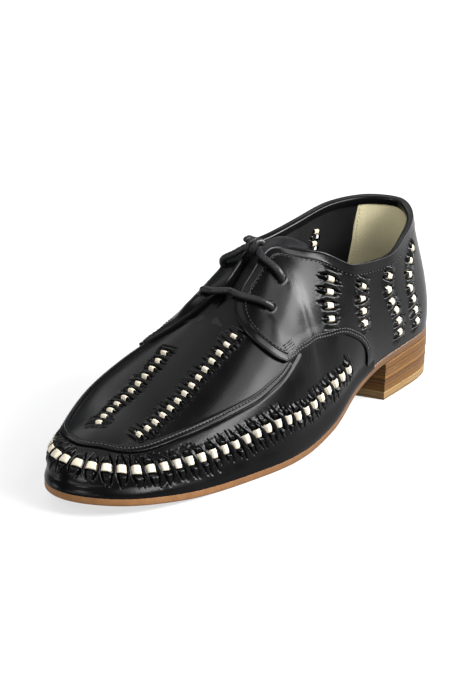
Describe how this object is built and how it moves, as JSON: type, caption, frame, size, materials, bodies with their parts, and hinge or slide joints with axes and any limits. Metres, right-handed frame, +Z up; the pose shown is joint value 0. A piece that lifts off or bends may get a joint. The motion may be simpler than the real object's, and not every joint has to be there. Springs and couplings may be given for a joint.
{
  "type": "lace-up shoe",
  "caption": "Black leather lace-up dress shoe for the left foot, with a moccasin apron, cream ribbon woven through slit lines, a bound collar, a tan leather sole and a low stacked heel.",
  "frame": {"origin": "on the floor, under the middle of the shoe's length and width", "axes": "toe to -Y, heel to +Y, outer side of the left foot to +X, +Z up"},
  "size_m": [0.0994, 0.2968, 0.1099],
  "materials": {
    "black_leather": "smooth polished calf, soft gloss",
    "tongue_leather": "smooth, satin",
    "binding_leather": "rolled edge, soft gloss",
    "insole_leather": "matt sock leather",
    "sole_leather": "burnished tan edge",
    "stacked_leather": "burnished stacked lifts",
    "top_piece_leather": "paler, satin",
    "cream_ribbon": "matt cream thong",
    "lace_cord": "waxed round cord"
  },
  "bodies": {
    "root": {"upper": "black_leather", "tongue": "tongue_leather", "binding": "binding_leather", "insole": "insole_leather", "outsole": "sole_leather", "heel_lift_1": "stacked_leather", "heel_lift_2": "stacked_leather", "heel_lift_3": "stacked_leather", "heel_top_piece": "top_piece_leather", "ribbon_band": "cream_ribbon", "ribbon_plug_lateral": "cream_ribbon", "ribbon_plug_medial": "cream_ribbon", "ribbon_quarter_1_lateral": "cream_ribbon", "ribbon_quarter_1_medial": "cream_ribbon", "ribbon_quarter_2_lateral": "cream_ribbon", "ribbon_quarter_2_medial": "cream_ribbon", "ribbon_quarter_3_lateral": "cream_ribbon", "ribbon_quarter_3_medial": "cream_ribbon", "ribbon_quarter_4_lateral": "cream_ribbon", "ribbon_quarter_4_medial": "cream_ribbon", "lace_bar_lower": "lace_cord", "lace_bar_upper": "lace_cord", "lace_knot": "lace_cord"}
  },
  "joints": []
}
